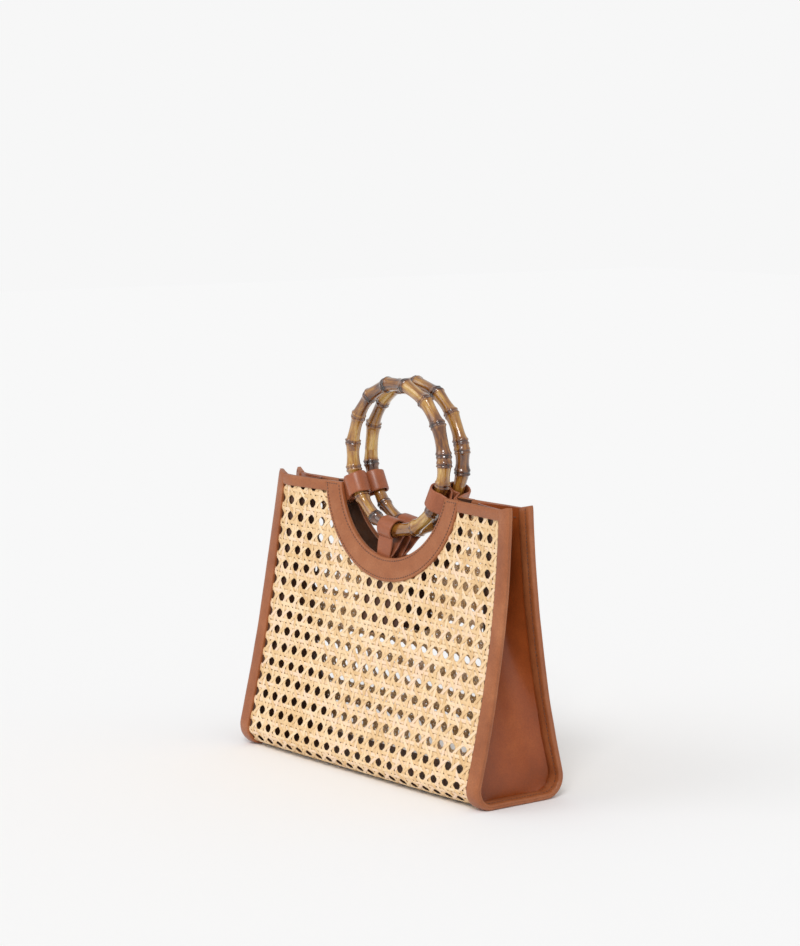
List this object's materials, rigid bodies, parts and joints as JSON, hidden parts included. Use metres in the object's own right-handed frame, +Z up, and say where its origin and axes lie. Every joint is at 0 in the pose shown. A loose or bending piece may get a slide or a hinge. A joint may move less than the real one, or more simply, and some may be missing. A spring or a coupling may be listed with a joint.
{
  "type": "basket box bag",
  "caption": "Flared box handbag of woven cane webbing with leather bindings, folded leather ends and a bamboo ring handle on each wall.",
  "frame": {"origin": "under the middle of the bag's base, on the floor", "axes": "+X along the bag, +Z up, the front wall faces -Y"},
  "size_m": [0.29, 0.0824, 0.2968],
  "materials": {
    "cane": "satin",
    "trim_leather": "satin",
    "gusset_leather": "satin",
    "loop_leather": "satin",
    "bamboo": "gloss"
  },
  "bodies": {
    "bag": {"cane_body": "cane", "base_board": "trim_leather", "left_binding": "trim_leather", "right_binding": "trim_leather", "left_gusset": "gusset_leather", "right_gusset": "gusset_leather", "front_top_band_left": "trim_leather", "front_top_band_right": "trim_leather", "front_facing": "trim_leather", "front_inner_facing": "trim_leather", "front_patch": "loop_leather", "front_loop_left": "loop_leather", "front_loop_bottom": "loop_leather", "front_loop_right": "loop_leather", "back_top_band_left": "trim_leather", "back_top_band_right": "trim_leather", "back_facing": "trim_leather", "back_inner_facing": "trim_leather", "back_patch": "loop_leather", "back_loop_left": "loop_leather", "back_loop_bottom": "loop_leather", "back_loop_right": "loop_leather"},
    "front_ring": {"front_ring": "bamboo"},
    "back_ring": {"back_ring": "bamboo"}
  },
  "joints": [
    {"name": "front_ring_turn", "type": "hinge", "parent": "bag", "child": "front_ring", "pos_m": [0, -0.0027, 0.237], "axis": [0, 1, 0], "continuous": true},
    {"name": "back_ring_turn", "type": "hinge", "parent": "bag", "child": "back_ring", "pos_m": [0, 0.0147, 0.237], "axis": [0, 1, 0], "continuous": true}
  ]
}
